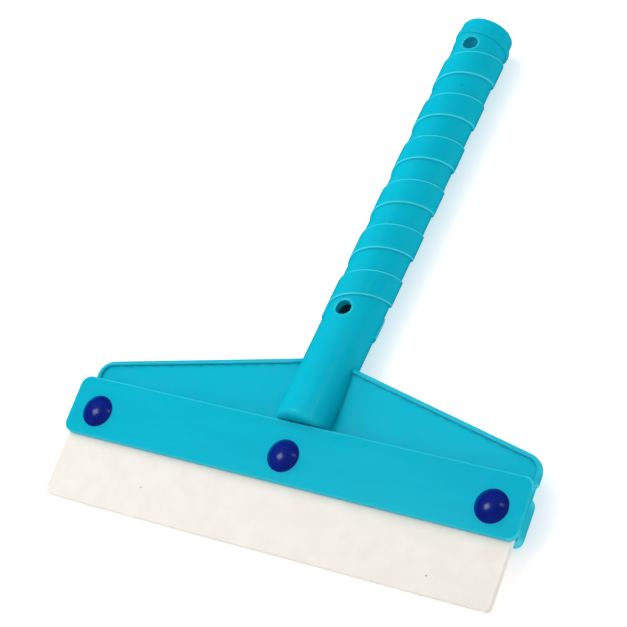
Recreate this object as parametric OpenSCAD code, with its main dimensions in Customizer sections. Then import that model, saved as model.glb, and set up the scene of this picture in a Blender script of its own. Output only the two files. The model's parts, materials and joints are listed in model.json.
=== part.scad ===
// Hand wiper for pool and tile walls: a moulded handle and back plate, a flexible wiper pad
// clamped by a front bar, and three two-part snap studs that hold the stack together.
// The handle moulding is two nodes here, the tube and the plate, joined along a seam.
// Lies on its back: +Y runs along the handle to its open end, +X along the blade, +Z up.

/* [Head] */
// Length of the front clamp bar
bar_w = 254; // [200:2:320]
// Height of the clamp bar
bar_h = 31; // [27:1:36]
// Thickness of the clamp bar
bar_t = 3; // [2:0.5:5]
// Corner radius of the clamp bar
bar_corner = 5.5; // [3:0.5:8]
// Angle between the handle and the face of the head
head_tilt = 9.2; // [5:0.1:12]

/* [Back plate] */
// Depth of the rear jaw behind the pad
jaw_t = 7.3; // [6:0.1:9]
// Height of the jaw's upper edge above the bar's middle
jaw_top = 8.5; // [6:0.5:10]
// Thickness of the back plate
plate_t = 2.8; // [2:0.1:4]
// Height that the sloping edges would meet at, above the bar's middle
plate_peak = 54.6; // [48:0.2:60]
// Slope of the plate's upper edges
plate_slope = 12.3; // [8:0.1:16]
// Width of the raised bead around the plate
bead_w = 2.4; // [1.5:0.1:4]
// Height of that bead above the plate
bead_h = 1.3; // [0.6:0.1:2]

/* [Wiper pad] */
// Length of the pad
pad_w = 248.4; // [190:0.2:300]
// Thickness of the pad
pad_t = 3.2; // [2:0.1:4]
// Distance from the bar's middle to the wiping edge
pad_reach = 48.8; // [36:0.2:60]

/* [Handle] */
// Outer diameter of the handle tube
tube_d = 28; // [25:0.5:32]
// Diameter of the pole socket inside the tube
socket_d = 19.6; // [18:0.2:24]
// Depth of the handle's axis behind the bar's face, at the bar's middle
tube_depth = 4.5; // [3:0.1:6]
// Distance of the closed end from the bar's middle, along the axis
tube_start = 15.6; // [15:0.1:20]
// Distance of the open end from the bar's middle, along the axis
tube_end = 267.8; // [220:0.2:300]
// Diameter of the cross holes
hole_d = 8.4; // [6:0.2:9]
// Distance of the hole near the head
hole_near = 78.4; // [70:0.2:90]
// Distance of the hole near the open end
hole_far = 250.6; // [200:0.2:255]

/* [Grip] */
// Advance of the spiral band in one turn
pitch = 28.6; // [24:0.1:34]
// Width of the band along the handle
band_w = 16.2; // [10:0.2:18]
// Height of the band above the tube
band_h = 0.9; // [0.4:0.1:1.5]
// Height of the ring bead near the open end
ring_h = 1.1; // [0.5:0.1:1.5]

/* [Studs] */
// Distance between neighbouring studs
stud_pitch = 110.5; // [80:0.5:140]
// Distance of the stud row below the bar's middle
stud_drop = 2; // [0:0.1:4]
// Diameter of a stud's domed head
head_d = 16.8; // [12:0.2:20]
// Height of the dome
head_h = 3.8; // [2:0.1:4.5]
// Diameter of a stud's shank
shank_d = 5; // [4:0.1:6]

/* [Hidden] */
$fn = 96;

aqua = [0.02, 0.70, 0.83];
navy = [0.03, 0.07, 0.55];
ivory = [0.96, 0.95, 0.92];

tube_r = tube_d / 2;
hole_gap = 0.1;              // play of a shank or sleeve in its hole
lap = 0.5;                   // depth that joined volumes share
plate_front = bar_t + pad_t + jaw_t - plate_t;
head_back = bar_t + pad_t + jaw_t;
sleeve_r = shank_d / 2 + 1.1;
flange_r = 6.5;
flange_t = 1.6;
plate_right = 124;           // width of the plate right of the middle
plate_left = 126.4;          // width of the plate left of the middle
plate_corner = 9;            // radius of the plate's upper corners
jaw_half = 125.6;            // half width of the jaw
ring_at = 257;               // lower edge of the ring bead, along the axis
ring_w = 4;
land_from = 74;              // edges of the plain land that ends the band, round the back
land_to = 87;
band_phase = 246.6;          // upper edge of a band turn on the line band_angle
band_angle = 31;
land_low = 104;              // angles of the land's ends, six turns down
land_high = 310;
ring_steps = 28;             // sections of the band in one turn
axis_h = tube_r + ring_h;    // height of the handle's axis over the table

// Place of the bar's middle in the row's frame
back_reach = pad_reach * cos(head_tilt) - bar_t * sin(head_tilt);
axis_y0 = tube_depth * sin(head_tilt);
head_y = (back_reach - axis_y0 - tube_end) / 2;
head_z = axis_h + tube_depth * cos(head_tilt);

// The head's own frame: x along the bar, y up its face, z out of its face
module in_head() {
    translate([0, head_y, head_z]) rotate([head_tilt, 0, 0]) children();
}

// The handle's own frame: z runs up the axis, y points out of the front
module in_tube() {
    translate([0, head_y + axis_y0, axis_h]) rotate([-90, 0, 0]) mirror([0, 1, 0]) children();
}

// A slab with round corners, standing out along +z
module slab(x0, x1, y0, y1, t, r) {
    linear_extrude(t) union() {
        translate([x0 + r, y0]) square([x1 - x0 - 2 * r, y1 - y0]);
        translate([x0, y0 + r]) square([x1 - x0, y1 - y0 - 2 * r]);
        for (x = [x0 + r, x1 - r], y = [y0 + r, y1 - r]) translate([x, y]) circle(r, $fn = 48);
    }
}

// Something repeated at each stud's place, in the head's frame
module at_stud(i) {
    translate([i * stud_pitch, -stud_drop, 0]) children();
}

// Corner of the plate's outline: the sloping edge at half width w, lowered by d
function plate_edge(w, d) = plate_peak - w * tan(plate_slope) - d / cos(plate_slope);

// Half outline of the plate, drawn inside its edge by d, from its foot to the middle
function half_outline(half, d, foot) =
    let (w = half - d, r = plate_corner - d,
         cy = plate_edge(w - r, d) - r / cos(plate_slope))
    concat([[w, foot]],
           [for (a = [0 : 6 : 90 - plate_slope]) [w - r + r * cos(a), cy + r * sin(a)]],
           [[w - r + r * sin(plate_slope), cy + r * cos(plate_slope)], [0, plate_edge(0, d)]]);

function mirrored(points) = [for (i = [len(points) - 2 : -1 : 0]) [-points[i][0], points[i][1]]];

module plate_outline(d, foot) {
    left = mirrored(half_outline(plate_left, d, foot));
    polygon(concat(half_outline(plate_right, d, foot), left));
}

// Thin back plate with the raised bead around its upper edges
module back_plate() {
    translate([0, 0, -head_back]) linear_extrude(plate_t) plate_outline(1, jaw_top - lap);
    translate([0, 0, -head_back]) linear_extrude(plate_t + bead_h) difference() {
        plate_outline(0, bar_h / 2 - 1);
        plate_outline(bead_w, 0);
    }
}

// Thick lower lip that presses the pad against the bar
module jaw() {
    translate([0, 0, -head_back]) slab(-jaw_half, jaw_half, -bar_h / 2, jaw_top, jaw_t, 4);
}

// Solid outline of the tube, with its rounded closed end and the ring bead
module tube_outside() {
    in_tube() rotate_extrude() {
        round_r = 3;
        translate([0, tube_start]) square([tube_r - round_r, round_r]);
        translate([tube_r - round_r, tube_start + round_r]) intersection() {
            circle(round_r);
            translate([0, -round_r]) square([round_r, round_r]);
        }
        translate([0, tube_start + round_r]) square([tube_r, tube_end - tube_start - round_r]);
        translate([tube_r - 1, ring_at]) square([1 + ring_h - 0.5, ring_w]);
        translate([tube_r - 1, ring_at + 0.5]) square([1 + ring_h, ring_w - 1]);
    }
}

// Height of the band's lower edge along the axis, at angle a around it
function band_z(a) = band_phase - band_w + pitch * (a - band_angle) / 360;

// One section of the band: it starts as a land between two planes, and ends in the ring bead
function band_section(a, k) =
    let (z0 = a < land_high - 6 * 360 ? land_from : band_z(a),
         z1 = min(max(band_z(a) + band_w, land_to), ring_at + ring_w / 2),
         in_r = tube_r - 0.7, out_r = tube_r + band_h * k, s = min(0.9, (z1 - z0) / 4))
    [for (p = [[in_r, z0], [out_r, z0 + s], [out_r, z1 - s], [in_r, z1]])
        [p[0] * sin(a), p[0] * cos(a), p[1]]];

// Raised spiral band: a low trapezium swept up the tube, fading out under the ring bead
module spiral_band() {
    a_low = land_low - 6 * 360;
    a_high = band_angle + 360 * (ring_at - 1 - band_phase + band_w) / pitch;
    count = ceil((a_high - a_low) * ring_steps / 360);
    step = (a_high - a_low) / count;
    fade = ring_steps / 2;
    points = [for (i = [0 : count]) each band_section(a_low + i * step, min(1, (count - i) / fade + 0.15))];
    sides = [for (i = [0 : count - 1], j = [0 : 3])
        [4 * i + 4 + j, 4 * i + 4 + (j + 1) % 4, 4 * i + (j + 1) % 4, 4 * i + j]];
    ends = [[0, 1, 2, 3], [for (j = [3 : -1 : 0]) 4 * count + j]];
    in_tube() polyhedron(points, concat(sides, ends));
}

// Tubular half of the handle moulding, with the pole socket and the cross holes
module handle_tube() {
    color(aqua) difference() {
        union() {
            tube_outside();
            spiral_band();
        }
        in_tube() translate([0, 0, tube_start + 4])
            cylinder(d = socket_d, h = tube_end - tube_start);
        for (z = [hole_near, hole_far])
            in_tube() translate([0, -20, z]) rotate([-90, 0, 0]) cylinder(d = hole_d, h = 40);
    }
}

// Flat half of the handle moulding: it meets the tube all along their seam
module head_plate() {
    color(aqua) difference() {
        union() {
            in_head() back_plate();
            in_head() jaw();
        }
        tube_outside();
        in_head() for (i = [-1 : 1]) at_stud(i)
            translate([0, 0, -head_back - 1]) cylinder(r = sleeve_r + hole_gap, h = jaw_t + 2);
    }
}

module clamp_bar() {
    color(aqua) in_head() difference() {
        translate([0, 0, -bar_t])
            slab(-bar_w / 2, bar_w / 2, -bar_h / 2, bar_h / 2, bar_t, bar_corner);
        for (i = [-1 : 1]) at_stud(i)
            translate([0, 0, -bar_t - 1]) cylinder(r = shank_d / 2 + hole_gap, h = bar_t + 2);
    }
}

module wiper_pad() {
    pad_top = jaw_top + 2;
    color(ivory) in_head() difference() {
        translate([0, 0, -bar_t - pad_t])
            slab(-pad_w / 2, pad_w / 2, -pad_reach, pad_top, pad_t, 2.5);
        for (i = [-1 : 1]) at_stud(i)
            translate([0, 0, -bar_t - pad_t - 1]) cylinder(r = shank_d / 2 + hole_gap, h = pad_t + 2);
    }
}

// Domed head on a plain shank
module stud(i) {
    dome_r = (pow(head_d / 2, 2) + pow(head_h, 2)) / (2 * head_h);
    color(navy) in_head() at_stud(i) rotate_extrude() union() {
        intersection() {
            translate([0, head_h - dome_r]) circle(dome_r, $fn = 180);
            square([head_d / 2, head_h]);
        }
        translate([0, -head_back]) square([shank_d / 2, head_back + lap]);
    }
}

// Rear half of a stud: a sleeve that grips the shank, and a round flange
module stud_socket(i) {
    depth = jaw_t - 0.6;
    color(navy) in_head() at_stud(i) translate([0, 0, -head_back]) difference() {
        union() {
            translate([0, 0, -flange_t]) cylinder(r = flange_r, h = flange_t);
            translate([0, 0, -lap]) cylinder(r = sleeve_r, h = depth + lap);
        }
        translate([0, 0, -0.2]) cylinder(r = shank_d / 2 + 0.05, h = depth + 1);
    }
}

handle_tube();
head_plate();
clamp_bar();
wiper_pad();
stud(-1);  // stud_left
stud(0);  // stud_middle
stud(1);  // stud_right
stud_socket(-1);  // socket_left
stud_socket(0);  // socket_middle
stud_socket(1);  // socket_right
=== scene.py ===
import json
import math

import bmesh
import bpy
import numpy as np
from mathutils import Matrix, Vector


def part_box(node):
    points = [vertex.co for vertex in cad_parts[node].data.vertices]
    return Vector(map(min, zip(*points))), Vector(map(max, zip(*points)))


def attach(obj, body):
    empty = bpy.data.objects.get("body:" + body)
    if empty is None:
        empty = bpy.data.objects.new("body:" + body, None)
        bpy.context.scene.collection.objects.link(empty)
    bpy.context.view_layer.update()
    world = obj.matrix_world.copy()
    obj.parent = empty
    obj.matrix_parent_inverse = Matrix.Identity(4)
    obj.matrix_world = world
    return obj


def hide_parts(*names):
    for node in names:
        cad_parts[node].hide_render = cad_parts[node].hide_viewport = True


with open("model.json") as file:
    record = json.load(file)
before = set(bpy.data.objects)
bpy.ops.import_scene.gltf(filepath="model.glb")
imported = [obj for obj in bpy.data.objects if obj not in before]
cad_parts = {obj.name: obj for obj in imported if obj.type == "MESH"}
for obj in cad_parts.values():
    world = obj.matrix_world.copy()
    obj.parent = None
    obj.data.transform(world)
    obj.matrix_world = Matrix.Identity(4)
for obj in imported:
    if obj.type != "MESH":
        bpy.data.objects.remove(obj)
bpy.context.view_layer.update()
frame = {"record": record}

# ---------------------------------------------------------------- sizes
# All lengths below are in millimetres, as in the CAD; MM turns them into metres.
MM = 0.001
TILT = math.radians(9.2)          # the head's face over the handle's axis

BAR_HALF, BAR_H, BAR_T = 127.0, 31.0, 3.0
PAD_HALF, PAD_T, PAD_REACH, PAD_TOP = 124.2, 3.2, 48.8, 10.5
PAD_BACK = -BAR_T - PAD_T         # the pad's rear face, where the jaw begins
JAW_HALF, JAW_TOP = 125.6, 8.5
BACK = -13.5                      # rear face of the plate and the jaw
WEB_FRONT, WEB_INSET, WEB_FOOT = -10.7, 1.0, 8.0
BEAD_W, BEAD_FRONT, BEAD_FOOT = 2.4, -9.4, 14.5
PLATE_RIGHT, PLATE_LEFT, PLATE_CORNER, PLATE_PEAK = 124.0, 126.4, 9.0, 54.6
SLOPE = math.radians(12.3)        # of the plate's upper edges

STUDS = {"left": -110.5, "middle": 0.0, "right": 110.5}
STUD_Y, HEAD_R, HEAD_H, SHANK_R = -2.0, 8.4, 3.8, 2.5
SLEEVE_R, FLANGE_R, FLANGE_T = 3.6, 6.5, 1.6
PLAY = 0.1                        # between a shank or sleeve and its hole

TUBE_R, BORE_R, TUBE_START, FLOOR, TUBE_END = 14.0, 9.8, 15.6, 19.6, 267.8
HOLE_R, HOLES = 4.2, (78.4, 250.6)
LIP_DEPTH, LIP_WIDTH = 0.35, 1.0  # the sunk rim of a cross hole
PITCH, BAND_W, BAND_H, BAND_EDGE = 28.6, 16.2, 0.9, 0.9
BAND_TOP, BAND_ANGLE, BAND_HIGH = 246.6, 31.0, 353.2
LAND_FROM, LAND_TO, LAND_LOW, LAND_HIGH = 74.0, 87.0, 104.0, 310.0
TURNS_DOWN = 6                    # from the band's reference turn down to the land
RING_MID, RING_HALF, RING_H = 259.0, 2.0, 1.1


# ---------------------------------------------------------------- places
def head_frame():
    """The head's own frame: x along the bar, y up its face, z out of its face."""
    low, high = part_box("clamp_bar")
    turn = Matrix.Rotation(TILT, 4, "X")
    middle = (Vector(low) + Vector(high)) / 2
    return Matrix.Translation(middle - turn @ Vector((0, 0, -BAR_T / 2 * MM))) @ turn


def tube_origin():
    """The point of the handle's axis that its distances start from."""
    socket = next(m for m in frame["record"]["mounts"] if m["name"] == "pole_socket")
    x, _, z = socket["pos_m"]
    return Vector((x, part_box("handle_tube")[1][1] - TUBE_END * MM, z))


HEAD = head_frame()
TUBE = tube_origin()


# ---------------------------------------------------------------- mesh helpers
def build(name, points, faces):
    """A mesh object from points in metres and faces as lists of point numbers."""
    mesh = bpy.data.meshes.new(name)
    mesh.from_pydata([tuple(p) for p in points], [], [tuple(int(i) for i in f) for f in faces])
    mesh.validate()
    obj = bpy.data.objects.new(name, mesh)
    bpy.context.scene.collection.objects.link(obj)
    return obj


def in_head(points):
    """Points of the head's frame, in millimetres, as places in the row's frame."""
    return [HEAD @ (Vector(p) * MM) for p in points]


def tidy(obj):
    """Welds doubled points and turns every face outwards."""
    bm = bmesh.new()
    bm.from_mesh(obj.data)
    bmesh.ops.remove_doubles(bm, verts=bm.verts, dist=1e-6)
    bmesh.ops.dissolve_degenerate(bm, edges=bm.edges, dist=1e-7)
    bmesh.ops.recalc_face_normals(bm, faces=bm.faces)
    bm.to_mesh(obj.data)
    bm.free()
    return obj


def bake(obj):
    """Puts the modifiers' result into the mesh."""
    graph = bpy.context.evaluated_depsgraph_get()
    mesh = bpy.data.meshes.new_from_object(obj.evaluated_get(graph))
    obj.modifiers.clear()
    old, obj.data = obj.data, mesh
    bpy.data.meshes.remove(old)
    mesh.name = obj.name


def combine(obj, others, operation):
    """Adds other solids to obj, or cuts them out of it, and removes them."""
    for other in others:
        cut = obj.modifiers.new(operation, "BOOLEAN")
        cut.operation, cut.solver, cut.object = operation, "EXACT", other
        bake(obj)
        bpy.data.objects.remove(other)
    return tidy(obj)


def smooth(obj, degrees=34):
    """Smooth shading with sharp corners, and normals that large faces decide."""
    obj.data.shade_smooth()
    obj.data.set_sharp_from_angle(angle=math.radians(degrees))
    even = obj.modifiers.new("even", "WEIGHTED_NORMAL")
    even.keep_sharp, even.weight = True, 80
    return obj


def revolve(name, profile, place, steps=96):
    """A solid turned about place's z axis from (radius, height) points, in millimetres."""
    points, faces, rings = [], [], []
    for radius, height in profile:
        count = 1 if radius < 1e-9 else steps
        rings.append(range(len(points), len(points) + count))
        for k in range(count):
            a = 2 * math.pi * k / steps
            points.append((radius * math.cos(a), radius * math.sin(a), height))
    for low, high in zip(rings, rings[1:]):
        for k in range(steps):
            n = (k + 1) % steps
            quad = [low[k % len(low)], low[n % len(low)], high[n % len(high)], high[k % len(high)]]
            faces.append(list(dict.fromkeys(quad)))
    return tidy(build(name, [place @ (Vector(p) * MM) for p in points], faces))


def arc(cx, cy, radius, start, stop, steps=6):
    """Points of an arc about (cx, cy), from one angle to another in degrees."""
    angles = [math.radians(start + (stop - start) * k / steps) for k in range(steps + 1)]
    return [(cx + radius * math.cos(a), cy + radius * math.sin(a)) for a in angles]


def slab_rows(half, y0, y1, corner, columns, rows):
    """A rectangle with round corners as a grid: an array of rows, columns and x, y."""
    turn = np.linspace(0, math.pi / 2, 9)
    low = [(half - corner + corner * math.sin(t), y0 + corner - corner * math.cos(t)) for t in turn]
    high = [(w, y0 + y1 - y) for w, y in reversed(low)]
    middle = [(half, y) for y in np.linspace(y0 + corner, y1 - corner, rows + 1)[1:-1]]
    across = np.concatenate([[-1], np.linspace(-0.996, 0.996, columns - 1), [1]])
    return np.array([[(w * u, y) for u in across] for w, y in low + middle + high])


def slab(name, half, y0, y1, z0, z1, corner, edges, columns=60, rows=16, shape=None):
    """A slab in the head's frame with round corners and filleted rims.

    edges holds the fillet radius of the rear and of the front rim. shape may move the
    points: it takes and returns an array of x, y, z.
    """
    def outline(inset):
        return slab_rows(half - inset, y0 + inset, y1 - inset, corner - inset, columns, rows)

    tall, wide = outline(0).shape[:2]
    rim = [(0, j) for j in range(wide)] + [(i, wide - 1) for i in range(1, tall)]
    rim += [(tall - 1, j) for j in range(wide - 2, -1, -1)] + [(i, 0) for i in range(tall - 2, 0, -1)]
    points, faces = [], []

    def layer(inset, z, cells):
        grid = outline(inset)
        start = len(points)
        points.extend([grid[i][j][0], grid[i][j][1], z] for i, j in cells)
        return start

    every = [(i, j) for i in range(tall) for j in range(wide)]
    rear, front = edges
    back_at = layer(rear, z0, every)
    front_at = layer(front, z1, every)
    for i in range(tall - 1):
        for j in range(wide - 1):
            k = i * wide + j
            quad = [k, k + 1, k + wide + 1, k + wide]
            faces.append([front_at + q for q in quad])
            faces.append([back_at + q for q in reversed(quad)])

    rings = [[front_at + i * wide + j for i, j in rim]]
    steps = 5
    for k in range(1, steps + 1):
        turn = math.pi / 2 * k / steps
        start = layer(front * (1 - math.sin(turn)), z1 - front * (1 - math.cos(turn)), rim)
        rings.append(range(start, start + len(rim)))
    for k in range(steps, 0, -1):
        turn = math.pi / 2 * k / steps
        start = layer(rear * (1 - math.sin(turn)), z0 + rear * (1 - math.cos(turn)), rim)
        rings.append(range(start, start + len(rim)))
    rings.append([back_at + i * wide + j for i, j in rim])
    for upper, lower in zip(rings, rings[1:]):
        for k in range(len(rim)):
            n = (k + 1) % len(rim)
            faces.append([upper[k], lower[k], lower[n], upper[n]])

    places = np.array(points, dtype=float)
    if shape:
        places = shape(places)
    return tidy(build(name, in_head(places), faces))


def bores(radius, z0, z1):
    """A cutter for each stud's hole, in the head's frame."""
    made = []
    for x in STUDS.values():
        place = HEAD @ Matrix.Translation(Vector((x, STUD_Y, 0)) * MM)
        made.append(revolve("cutter", [(0, z0), (radius, z0), (radius, z1), (0, z1)], place, 48))
    return made


# ---------------------------------------------------------------- the handle tube
def step_up(x):
    """0 below 0 and 1 above 1, with a smooth change between them."""
    x = np.clip(x, 0, 1)
    return x * x * (3 - 2 * x)


def band_height(z, angle):
    """Height of the spiral band at a distance z along the tube and an angle in degrees.

    Its lower end is a plain land round the back of the tube, and its upper end fades out.
    """
    rise = z - (BAND_TOP - BAND_W + PITCH * (angle - BAND_ANGLE) / 360)
    turns = np.floor(rise / PITCH)
    along = angle + 360 * turns
    rise = rise - PITCH * turns
    inside = np.minimum(rise, BAND_W - rise)
    inside = np.minimum(inside, z - LAND_FROM)
    inside = np.minimum(inside, np.radians(along - LAND_LOW + TURNS_DOWN * 360) * TUBE_R)
    land = np.minimum(z - LAND_FROM, LAND_TO - z)
    land = np.minimum(land, np.radians(np.minimum(angle - LAND_LOW, LAND_HIGH - angle)) * TUBE_R)
    fade = np.clip((BAND_HIGH - along) / 180 + 0.15, 0, 1)
    return BAND_H * np.maximum(fade * step_up(inside / BAND_EDGE), step_up(land / BAND_EDGE))


def ring_height(z):
    """Height of the rounded ring bead near the open end."""
    across = np.clip(np.abs(z - RING_MID) / RING_HALF, 0, 1)
    return RING_H * np.sqrt(1 - across ** 3)


def hole_lip(x, y, z, outside):
    """How far the tube's wall sinks towards the rim of a cross hole."""
    sink = np.zeros_like(x)
    for at in HOLES:
        gap = np.hypot(x, z - at) - HOLE_R
        sink = np.maximum(sink, 1 - step_up((gap + 0.2) / LIP_WIDTH))
    return LIP_DEPTH * sink * outside


def tube_profile():
    """The tube's (radius, distance, is outer wall) from its closed end round to its floor."""
    wall = [(TUBE_R, z) for z in np.arange(TUBE_START + 3.4, RING_MID - RING_HALF - 0.3, 0.4)]
    wall += [(TUBE_R, z) for z in np.arange(RING_MID - RING_HALF - 0.2, RING_MID + RING_HALF + 0.3, 0.1)]
    wall += [(TUBE_R, z) for z in np.arange(RING_MID + RING_HALF + 0.6, TUBE_END - 1.1, 0.4)]
    closed_end = [(0, TUBE_START)] + [(r, TUBE_START) for r in (4.0, 8.0)]
    closed_end += arc(TUBE_R - 3, TUBE_START + 3, 3, -90, 0, 12)
    rim = arc(TUBE_R - 1, TUBE_END - 1, 1, 0, 90) + arc(BORE_R + 0.7, TUBE_END - 0.7, 0.7, 90, 180)
    bore = [(BORE_R, z) for z in np.arange(TUBE_END - 2, FLOOR + 2, -2.0)]
    bore += arc(BORE_R - 1, FLOOR + 1, 1, 0, -90, 4) + [(6, FLOOR), (0, FLOOR)]
    return [(*p, 0) for p in closed_end] + [(*p, 1) for p in wall] + [(*p, 0) for p in rim + bore]


def make_tube():
    """The tube with its relief on the outside, and the two cross holes cut through it."""
    columns = 232
    profile = np.array(tube_profile())
    angle = np.linspace(0, 360, columns, endpoint=False)
    radius, z = [np.repeat(profile[:, k:k + 1], columns, axis=1) for k in (0, 1)]
    outside = profile[:, 2:3]
    turn = np.radians(angle)[None, :]
    raised = np.maximum(band_height(z, angle[None, :]), ring_height(z)) * outside
    lip = hole_lip(radius * np.sin(turn), 0, z, outside)
    radius = radius + raised - lip
    places = np.stack([radius * np.sin(turn), z, radius * np.cos(turn)], axis=-1) * MM + np.array(TUBE)
    count = len(profile)
    faces = []
    for i in range(count - 1):
        for j in range(columns):
            n = (j + 1) % columns
            faces.append([i * columns + j, (i + 1) * columns + j, (i + 1) * columns + n, i * columns + n])
    obj = tidy(build("handle", places.reshape(-1, 3), faces))
    cutters = []
    for at in HOLES:
        place = Matrix.Translation(TUBE + Vector((0, at * MM, 0)))
        # Rings near the tube's two surfaces keep the painted edge highlight close to the rims
        wall = [(HOLE_R, z) for z in (-30, -13.0, -12.6, -10.2, 10.2, 12.6, 13.0, 30)]
        cutters.append(revolve("cutter", [(0, -30)] + wall + [(0, 30)], place))
    return combine(obj, cutters, "DIFFERENCE")


# ---------------------------------------------------------------- the back plate and the jaw
def plate_edge(half, inset):
    """Height of the plate's sloping edge at a half width, drawn inside it by inset."""
    return PLATE_PEAK - half * math.tan(SLOPE) - inset / math.cos(SLOPE)


def plate_outline(inset, foot):
    """The plate's outline drawn inside its edge, from the right foot over the peak to the left."""
    sides = []
    for half in (PLATE_RIGHT - inset, PLATE_LEFT - inset):
        corner = PLATE_CORNER - inset
        middle = half - corner
        cy = plate_edge(middle, inset) - corner / math.cos(SLOPE)
        side = [(half, y) for y in np.linspace(foot, cy, 8)[:-1]]
        side += arc(middle, cy, corner, 0, 90 - math.degrees(SLOPE), 14)
        x1, y1 = side[-1]
        side += [(x1 * (1 - t), y1 + (plate_edge(0, inset) - y1) * t) for t in np.linspace(0, 1, 30)[1:]]
        sides.append(side)
    right, left = sides
    return right + [(-x, y) for x, y in reversed(left[:-1])]


def make_web():
    """The thin web inside the bead, as a fine grid cut to the plate's outline."""
    edge = plate_outline(WEB_INSET, WEB_FOOT)
    count = len(edge)
    points = [(x, y, BACK - 1) for x, y in edge] + [(x, y, WEB_FRONT + 1) for x, y in edge]
    faces = [list(range(count))[::-1], list(range(count, 2 * count))]
    faces += [[k, (k + 1) % count, (k + 1) % count + count, k + count] for k in range(count)]
    grid = slab("web", PLATE_LEFT + 2, 4.0, PLATE_PEAK + 2, BACK, WEB_FRONT, 2.0, (0.3, 0.3), 150, 28)
    return combine(grid, [tidy(build("outline", in_head(points), faces))], "INTERSECT")


def bead_profile():
    """Half-width and height points of the bead's section, anticlockwise."""
    half, top, low = BEAD_W / 2, 1.0, 0.5
    right = arc(half - low, BACK + low, low, -90, 0, 4) + arc(half - top, BEAD_FRONT - top, top, 0, 90, 7)
    return right + [(-n, z) for n, z in reversed(right)]


def make_bead():
    """The rounded bead swept round the plate's edge, with rounded feet."""
    path = [Vector(p) for p in plate_outline(BEAD_W / 2, BEAD_FOOT + BEAD_W / 2)]
    section = bead_profile()
    ways = []
    for k, here in enumerate(path):
        ahead, behind = path[min(k + 1, len(path) - 1)], path[max(k - 1, 0)]
        ways.append((ahead - behind).normalized())
    rings = []

    def ring(here, way, turn, reach):
        """The section at a path point, turned about its upright axis by an angle."""
        side = Vector((way.y, -way.x))
        made = []
        for n, z in section:
            spot = here + side * (n * math.cos(turn)) + way * (abs(n) * math.sin(turn) * reach)
            made.append((spot.x, spot.y, z))
        rings.append(made)

    for k in range(6, 0, -1):
        ring(path[0], ways[0], math.pi / 2 * k / 6, -1)
    for here, way in zip(path, ways):
        ring(here, way, 0, 1)
    for k in range(1, 7):
        ring(path[-1], ways[-1], math.pi / 2 * k / 6, 1)
    count = len(section)
    points = [p for r in rings for p in r]
    faces = []
    for i in range(len(rings) - 1):
        for j in range(count):
            n = (j + 1) % count
            faces.append([i * count + j, i * count + n, (i + 1) * count + n, (i + 1) * count + j])
    return tidy(build("bead", in_head(points), faces))


def make_handle():
    """Tube, plate, bead and jaw as one moulding."""
    tube = make_tube()
    jaw = slab("jaw", JAW_HALF, -BAR_H / 2, JAW_TOP, BACK, PAD_BACK, 4.0, (0.8, 0.5), 60, 10)
    jaw = combine(jaw, bores(SLEEVE_R + PLAY, BACK - 1, PAD_BACK + 1), "DIFFERENCE")
    plate = combine(make_web(), [make_bead(), jaw], "UNION")
    # The plate stops inside the tube's wall, so that it doesn't fill the socket
    along = Matrix.Translation(TUBE) @ Matrix.Rotation(-math.pi / 2, 4, "X")
    inside, low, high = 12.5, 17.5, 90
    hollow = revolve("cutter", [(0, low), (inside, low), (inside, high), (0, high)], along)
    plate = combine(plate, [hollow], "DIFFERENCE")
    return smooth(combine(tube, [plate], "UNION"))


# ---------------------------------------------------------------- the clamped stack
def make_bar():
    """The front bar: a slab with a soft front rim and the studs' holes."""
    obj = slab("clamp_bar_front", BAR_HALF, -BAR_H / 2, BAR_H / 2, -BAR_T, 0, 5.5, (0.3, 0.9), 100, 16)
    return smooth(combine(obj, bores(SHANK_R + PLAY, -BAR_T - 1, 1), "DIFFERENCE"))


def waves(x, y, terms):
    """A gentle uneven surface from a few fixed sine waves: (size, x and y per metre, phase)."""
    return sum(size * np.sin(a * x + b * y + phase) for size, a, b, phase in terms)


def limp(points):
    """The pad's slight waviness below the bar, its worn wiping edge and a small nick."""
    x, y, z = points.T.copy()
    free = step_up((-y - 17) / 20)
    z += free * waves(x, y, [(0.16, 0.031, 0.02, 0.4), (0.10, 0.067, 0.05, 2.0), (0.05, 0.13, 0.09, 4.0)])
    low = step_up((-y - 44) / 4)
    y += low * (0.06 + waves(x, y, [(0.03, 0.05, 0, 1.0), (0.02, 0.21, 0, 0.3)]))
    y += 0.6 * step_up((-y - 46.8) / 1.5) * np.exp(-((x - 119.5) / 1.0) ** 2)
    return np.stack([x, y, z], axis=-1)


def make_pad():
    """The off-white sheet, waved a little where it is free."""
    obj = slab("wiper_sheet", PAD_HALF, -PAD_REACH, PAD_TOP, PAD_BACK, -BAR_T, 2.5, (0.35, 0.35),
               180, 36, limp)
    return smooth(combine(obj, bores(SHANK_R + PLAY, PAD_BACK - 1, -BAR_T + 1), "DIFFERENCE"))


def make_stud(side):
    """A domed head with a rolled rim, on a shank with a chamfered tip."""
    place = HEAD @ Matrix.Translation(Vector((STUDS[side], STUD_Y, 0)) * MM)
    dome_r = (HEAD_R ** 2 + HEAD_H ** 2) / (2 * HEAD_H)
    edge = math.degrees(math.asin((HEAD_R - 0.12) / dome_r))
    profile = [(0, BACK), (SHANK_R - 0.5, BACK), (SHANK_R, BACK + 0.5), (SHANK_R, 0)]
    profile += [(HEAD_R - 0.15, 0), (HEAD_R, 0.12)]
    profile += arc(0, HEAD_H - dome_r, dome_r, 90 - edge, 90, 28)[:-1] + [(0, HEAD_H)]
    return smooth(revolve("stud_head_" + side, profile, place, 112), 60)


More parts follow.
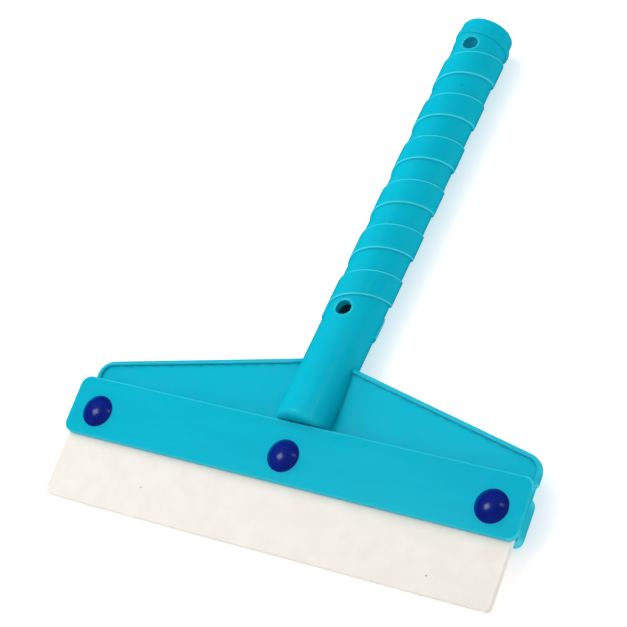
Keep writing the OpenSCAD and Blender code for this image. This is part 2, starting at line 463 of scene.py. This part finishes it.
def make_socket(side):
    """The rear half of a stud: a sleeve in the jaw and a dished round flange."""
    place = HEAD @ Matrix.Translation(Vector((STUDS[side], STUD_Y, BACK)) * MM)
    out = -FLANGE_T
    profile = [(0, -0.2), (SHANK_R + 0.05, -0.2), (SHANK_R + 0.05, 6.7), (SLEEVE_R - 0.3, 6.7)]
    profile += [(SLEEVE_R, 6.3), (SLEEVE_R, 0), (FLANGE_R - 0.3, 0), (FLANGE_R, -0.3)]
    profile += arc(FLANGE_R - 0.7, out + 0.7, 0.7, 0, -90, 5)
    profile += [(4.6, out), (4.2, out + 0.35), (2.0, out + 0.35), (1.6, out + 0.1), (0, out + 0.1)]
    return smooth(revolve("stud_socket_" + side, profile, place, 96), 40)


# ---------------------------------------------------------------- materials
class Nodes:
    """A material's node tree, with short calls for what the finishes here need."""

    def __init__(self, name):
        self.material = bpy.data.materials.new(name)
        self.material.use_nodes = True
        self.tree = self.material.node_tree
        self.shader = self.tree.nodes["Principled BSDF"]
        self.place = self.tree.nodes.new("ShaderNodeTexCoord").outputs["Object"]

    def add(self, kind, **values):
        node = self.tree.nodes.new(kind)
        for key, value in values.items():
            setattr(node, key, value)
        return node

    def link(self, source, target):
        self.tree.links.new(source, target)

    def set(self, **values):
        for key, value in values.items():
            self.shader.inputs[key.replace("_", " ")].default_value = value

    def stretched(self, turn, scale):
        """The object's coordinates turned about z and scaled, to draw a texture out."""
        node = self.add("ShaderNodeMapping")
        node.inputs["Rotation"].default_value = (0, 0, math.radians(turn))
        node.inputs["Scale"].default_value = scale
        self.link(self.place, node.inputs["Vector"])
        return node.outputs["Vector"]

    def noise(self, size_mm, detail=4.0, rough=0.55, place=None, warp=0.0):
        node = self.add("ShaderNodeTexNoise")
        node.inputs["Scale"].default_value = 1000 / size_mm
        node.inputs["Detail"].default_value = detail
        node.inputs["Roughness"].default_value = rough
        node.inputs["Distortion"].default_value = warp
        self.link(place or self.place, node.inputs["Vector"])
        return node.outputs["Fac"]

    def specks(self, size_mm, radius):
        """1 in small round specks, about size_mm apart, and 0 elsewhere."""
        node = self.add("ShaderNodeTexVoronoi")
        node.inputs["Scale"].default_value = 1000 / size_mm
        self.link(self.place, node.inputs["Vector"])
        return self.ramp(node.outputs["Distance"], (radius * 0.6, 1.0), (radius, 0.0))

    def ramp(self, source, start, stop):
        """Maps source from one (position, value) to another, and holds it outside."""
        node = self.add("ShaderNodeMapRange", interpolation_type="SMOOTHSTEP")
        for key, value in zip(("From Min", "To Min", "From Max", "To Max"), (*start, *stop)):
            node.inputs[key].default_value = value
        self.link(source, node.inputs["Value"])
        return node.outputs["Result"]

    def math(self, operation, a, b):
        node = self.add("ShaderNodeMath", operation=operation)
        for socket, value in zip(node.inputs, (a, b)):
            if isinstance(value, (int, float)):
                socket.default_value = value
            else:
                self.link(value, socket)
        return node.outputs["Value"]

    def mix(self, factor, a, b):
        """Colour a where factor is 0, and colour b where it is 1."""
        node = self.add("ShaderNodeMix", data_type="RGBA")
        for socket, value in zip((node.inputs[0], node.inputs[6], node.inputs[7]), (factor, a, b)):
            if isinstance(value, tuple):
                socket.default_value = (*value, 1)
            else:
                self.link(value, socket)
        return node.outputs[2]

    def edges(self, low=0.506, high=0.545):
        """1 along convex edges, where the finishes paint highlights and the pad paints shade."""
        return self.ramp(self.add("ShaderNodeNewGeometry").outputs["Pointiness"], (low, 0.0), (high, 1.0))

    def creases(self, low=0.455, high=0.494):
        """1 along hollow corners, where painted shade goes."""
        return self.ramp(self.add("ShaderNodeNewGeometry").outputs["Pointiness"], (low, 1.0), (high, 0.0))

    def bump(self, height, depth_mm, below=None):
        node = self.add("ShaderNodeBump")
        node.inputs["Strength"].default_value = 1.0
        node.inputs["Distance"].default_value = depth_mm * MM
        self.link(height, node.inputs["Height"])
        if below:
            self.link(below, node.inputs["Normal"])
        return node.outputs["Normal"]

    def finish(self, colour, roughness, normal):
        self.link(colour, self.shader.inputs["Base Color"])
        self.link(roughness, self.shader.inputs["Roughness"])
        self.link(normal, self.shader.inputs["Normal"])
        return self.material


def aqua_plastic():
    """Satin injection-moulded plastic: faint clouding, fine grain, light scuffs, painted highlights along
    convex edges and painted shade in hollow corners.
    """
    n = Nodes("aqua_moulded_plastic")
    clouds = n.ramp(n.noise(34, 3), (0.35, 0.0), (0.65, 1.0))
    colour = n.mix(clouds, (0.000, 0.455, 0.610), (0.000, 0.475, 0.635))
    grain = n.noise(0.9, 3, 0.6)
    scuffs = n.ramp(n.noise(3.2, 5, 0.7, n.stretched(24, (1, 0.12, 1))), (0.60, 0.0), (0.74, 1.0))
    colour = n.mix(n.math("MULTIPLY", scuffs, 0.04), colour, (0.06, 0.60, 0.74))
    colour = n.mix(n.math("MULTIPLY", n.specks(21, 0.028), 0.6), colour, (0.010, 0.12, 0.17))
    # Painted shade: darker aqua in hollow corners
    colour = n.mix(n.math("MULTIPLY", n.creases(), 0.4), colour, (0.000, 0.17, 0.26))
    # Painted highlight: lighter aqua along convex edges
    colour = n.mix(n.math("MULTIPLY", n.edges(), 0.8), colour, (0.12, 0.84, 0.96))
    rough = n.ramp(n.noise(7, 4), (0.3, 0.15), (0.7, 0.21))
    rough = n.math("ADD", rough, n.math("MULTIPLY", scuffs, 0.08))
    normal = n.bump(n.noise(18, 2), 0.012)
    normal = n.bump(grain, 0.004, normal)
    n.set(IOR=1.46, Specular_IOR_Level=0.16)
    return n.finish(colour, rough, normal)


def bar_plastic():
    """The bar's own moulding: flow marks along it, hairline scratches, painted highlights along its rims.
    """
    n = Nodes("aqua_bar_plastic")
    flow = n.noise(9, 4, 0.6, n.stretched(0, (0.16, 1, 1)), 0.6)
    colour = n.mix(n.ramp(flow, (0.38, 0.0), (0.62, 1.0)), (0.000, 0.420, 0.570), (0.000, 0.440, 0.595))
    hair = n.noise(1.1, 2, 0.5, n.stretched(37, (1, 0.03, 1)))
    hair = n.ramp(hair, (0.70, 0.0), (0.76, 1.0))
    few = n.ramp(n.noise(26, 2), (0.52, 0.0), (0.62, 1.0))
    hair = n.math("MULTIPLY", hair, few)
    colour = n.mix(n.math("MULTIPLY", hair, 0.10), colour, (0.10, 0.66, 0.78))
    # Painted highlight: lighter aqua along the bar's rims
    colour = n.mix(n.math("MULTIPLY", n.edges(), 0.7), colour, (0.08, 0.78, 0.90))
    rough = n.ramp(n.noise(6, 4), (0.3, 0.17), (0.7, 0.24))
    normal = n.bump(n.noise(24, 2), 0.012)
    normal = n.bump(n.noise(0.8, 3, 0.6), 0.004, normal)
    normal = n.bump(n.math("SUBTRACT", 1.0, hair), 0.006, normal)
    n.set(IOR=1.46, Specular_IOR_Level=0.07)
    return n.finish(colour, rough, normal)


def pad_rubber():
    """Matt off-white sheet: soft mottling, a few dark specks, grime, fine grain and painted shade along
    its edges.
    """
    n = Nodes("off_white_pad")
    mottle = n.ramp(n.noise(11, 5, 0.6), (0.35, 0.0), (0.68, 1.0))
    colour = n.mix(mottle, (0.845, 0.808, 0.745), (0.880, 0.845, 0.782))
    smudge = n.ramp(n.noise(28, 3, 0.6, None, 0.8), (0.60, 0.0), (0.75, 1.0))
    colour = n.mix(n.math("MULTIPLY", smudge, 0.18), colour, (0.78, 0.73, 0.66))
    # Painted shade: darker tan along the pad's edges
    colour = n.mix(n.math("MULTIPLY", n.edges(0.52, 0.56), 0.55), colour, (0.60, 0.54, 0.43))
    specks = n.specks(17, 0.035)
    colour = n.mix(n.math("MULTIPLY", specks, 0.75), colour, (0.16, 0.13, 0.10))
    rough = n.ramp(n.noise(5, 4), (0.3, 0.58), (0.7, 0.72))
    normal = n.bump(n.noise(6, 3), 0.05)
    normal = n.bump(n.noise(0.6, 4, 0.65), 0.03, normal)
    n.set(IOR=1.45, Specular_IOR_Level=0.35)
    return n.finish(colour, rough, normal)


def navy_plastic():
    """Glossy dark blue plastic with fine polishing haze and painted highlights along its edges."""
    n = Nodes("navy_stud_plastic")
    clouds = n.ramp(n.noise(5, 3), (0.35, 0.0), (0.65, 1.0))
    colour = n.mix(clouds, (0.001, 0.010, 0.19), (0.001, 0.015, 0.23))
    # Painted highlight: lighter blue along the studs' edges
    colour = n.mix(n.math("MULTIPLY", n.edges(0.53, 0.6), 0.4), colour, (0.02, 0.05, 0.42))
    rough = n.ramp(n.noise(1.4, 3, 0.5), (0.3, 0.19), (0.7, 0.22))
    normal = n.bump(n.noise(5, 1), 0.003)
    normal = n.bump(n.noise(0.7, 1), 0.0003, normal)
    n.set(IOR=1.5)
    return n.finish(colour, rough, normal)


def floor_paint():
    """Plain pale studio floor with a hardly visible texture."""
    n = Nodes("studio_floor")
    tone = n.ramp(n.noise(160, 3), (0.3, 0.0), (0.7, 1.0))
    colour = n.mix(tone, (0.85, 0.805, 0.80), (0.87, 0.82, 0.815))
    rough = n.ramp(n.noise(20, 3), (0.3, 0.75), (0.7, 0.9))
    n.set(Specular_IOR_Level=0.1, Emission_Color=(1, 1, 1, 1), Emission_Strength=0.43)
    return n.finish(colour, rough, n.bump(n.noise(2, 3), 0.02))


# ---------------------------------------------------------------- assembly
def dress(obj, material, slot, *nodes):
    """Gives a piece its finish, hides the CAD nodes it stands in for, and hangs it on the root body."""
    obj.data.materials.clear()
    obj.data.materials.append(material)
    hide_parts(*nodes)
    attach(obj, "root")


def make_object():
    """Every piece of the tool, dressed, with the CAD nodes it stands in for hidden."""
    navy = navy_plastic()
    dress(make_handle(), aqua_plastic(), "moulded_plastic", "handle_tube", "head_plate")
    dress(make_bar(), bar_plastic(), "bar_plastic", "clamp_bar")
    dress(make_pad(), pad_rubber(), "pad_rubber", "wiper_pad")
    for side in STUDS:
        dress(make_stud(side), navy, "stud_plastic", "stud_" + side)
        dress(make_socket(side), navy, "stud_plastic", "socket_" + side)


# ---------------------------------------------------------------- studio
def make_floor():
    """A wide plain floor, which the glossy surfaces don't reflect."""
    half, cells = 6.0, 12
    marks = np.linspace(-half, half, cells + 1)
    points = [(x, y, 0) for y in marks for x in marks]
    corners = [r * (cells + 1) + c for r in range(cells) for c in range(cells)]
    faces = [[k, k + 1, k + cells + 2, k + cells + 1] for k in corners]
    floor = build("floor", points, faces)
    floor.data.materials.append(floor_paint())
    floor.visible_glossy = False


def aim(obj, place, target, roll=0.0):
    """Puts a camera or light at place, looking at target."""
    way = (Vector(target) - Vector(place)).normalized()
    turn = way.to_track_quat("-Z", "Y").to_matrix().to_4x4()
    obj.matrix_world = Matrix.Translation(place) @ turn @ Matrix.Rotation(roll, 4, "Z")


def softbox(name, way, distance, size, power, colour=(1, 1, 1), mirrored=True):
    """A rectangular area light in a direction from the object, facing it.

    A light that isn't mirrored lights the surfaces, but glossy ones don't reflect it.
    """
    light = bpy.data.lights.new(name, "AREA")
    light.shape, light.size, light.size_y = "RECTANGLE", *size
    light.energy, light.color = power, colour
    obj = bpy.data.objects.new(name, light)
    bpy.context.scene.collection.objects.link(obj)
    obj.visible_glossy = mirrored
    aim(obj, Vector(way).normalized() * distance, (0, 0, 0.01))


def make_lights():
    """An even pale world, a mirrored light on either side, and two broad ones for shape."""
    world = bpy.data.worlds.new("studio")
    bpy.context.scene.world = world
    world.use_nodes = True
    background = world.node_tree.nodes["Background"]
    background.inputs["Color"].default_value = (1.0, 1.0, 1.0, 1)
    background.inputs["Strength"].default_value = 0.64
    world.cycles_visibility.glossy = False
    softbox("key", (-0.41, -0.25, 0.88), 1.2, (0.44, 0.50), 3.0, colour=(1.0, 0.99, 0.97))
    softbox("rim", (0.60, 0.22, 0.77), 1.4, (0.24, 0.50), 0.7, colour=(0.95, 0.98, 1.0))
    softbox("sky", (-0.35, 0.15, 0.95), 1.6, (1.4, 1.4), 5.0, mirrored=False)
    softbox("side", (-0.85, 0.40, 0.50), 1.3, (0.5, 0.4), 4.2, mirrored=False)


def make_camera():
    """The photo's own viewpoint, solved from the tool's proportions."""
    target = Vector((-0.02232, -0.03082, 0.01526))
    azimuth, elevation, roll = [math.radians(a) for a in (49.1, 50.2, -30.4)]
    distance, lens = 0.9666, 110.1
    away = Vector((math.sin(azimuth) * math.cos(elevation), -math.cos(azimuth) * math.cos(elevation),
                   math.sin(elevation)))
    data = bpy.data.cameras.new("camera")
    data.sensor_width, data.lens, data.clip_start = 36, lens, 0.05
    camera = bpy.data.objects.new("camera", data)
    bpy.context.scene.collection.objects.link(camera)
    aim(camera, target + away * distance, target, roll)
    bpy.context.scene.camera = camera


make_object()
make_floor()
make_lights()
make_camera()
bpy.context.scene.view_settings.view_transform = "Standard"
